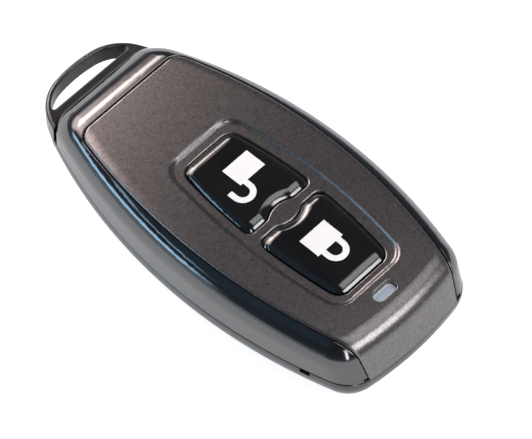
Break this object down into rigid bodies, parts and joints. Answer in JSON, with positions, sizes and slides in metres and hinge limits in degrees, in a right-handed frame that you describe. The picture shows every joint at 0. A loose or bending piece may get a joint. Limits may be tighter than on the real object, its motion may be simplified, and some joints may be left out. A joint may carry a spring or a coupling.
{
  "type": "key fob remote",
  "caption": "Flat two-button radio key fob with a domed matte panel in a glossy frame, an indicator window and a slotted key loop.",
  "frame": {"origin": "middle of the footprint on the surface the fob rests on", "axes": "+Y towards the key loop, +Z out of the button side, +X to the right seen from above with the loop up"},
  "size_m": [0.0292, 0.0596, 0.0112],
  "materials": {
    "case_satin": "satin moulded, near black",
    "gloss_black": "polished, black",
    "panel_brown": "fine satin with a metallic flake, dark grey brown",
    "key_black": "polished, black",
    "clear_lens": "clear acrylic, slightly milky",
    "board_green": "solder mask",
    "switch_body": "moulded, black",
    "switch_metal": "stamped sheet",
    "plunger_white": "moulded, off-white",
    "chip_black": "moulded epoxy",
    "tin": "tinned",
    "cell_steel": "drawn, nickel plated",
    "cell_gasket": "moulded seal",
    "spring_steel": "nickel plated spring strip",
    "wire_copper": "enamelled copper wire",
    "led_clear": "moulded, translucent",
    "resistor_black": "ceramic, coated",
    "capacitor_tan": "ceramic"
  },
  "bodies": {
    "case": {"lower_shell": "case_satin", "gloss_frame": "gloss_black", "front_cover": "panel_brown", "light_pipe": "clear_lens", "circuit_board": "board_green", "unlock_switch_base": "switch_body", "lock_switch_base": "switch_body", "unlock_switch_lid": "switch_metal", "lock_switch_lid": "switch_metal", "unlock_snap_dome": "switch_metal", "lock_snap_dome": "switch_metal", "unlock_switch_legs": "tin", "lock_switch_legs": "tin", "indicator_led": "led_clear", "encoder_chip": "chip_black", "encoder_chip_legs": "tin", "radio_chip": "chip_black", "radio_chip_legs": "tin", "resonator": "switch_metal", "chip_resistors": "resistor_black", "chip_capacitors": "capacitor_tan", "antenna_wire": "wire_copper", "coin_cell_can": "cell_steel", "coin_cell_gasket": "cell_gasket", "coin_cell_cap": "cell_steel", "battery_strap": "spring_steel", "battery_contact": "spring_steel"},
    "unlock_key": {"unlock_button": "key_black", "unlock_switch_plunger": "plunger_white"},
    "lock_key": {"lock_button": "key_black", "lock_switch_plunger": "plunger_white"}
  },
  "joints": [
    {"name": "unlock_press", "type": "slide", "parent": "case", "child": "unlock_key", "axis": [0, 0, -1], "range_m": [0, 0.0003], "stiffness_N_per_m": 1000, "springref_m": -0.0005},
    {"name": "lock_press", "type": "slide", "parent": "case", "child": "lock_key", "axis": [0, 0, -1], "range_m": [0, 0.0003], "stiffness_N_per_m": 1000, "springref_m": -0.0005}
  ]
}
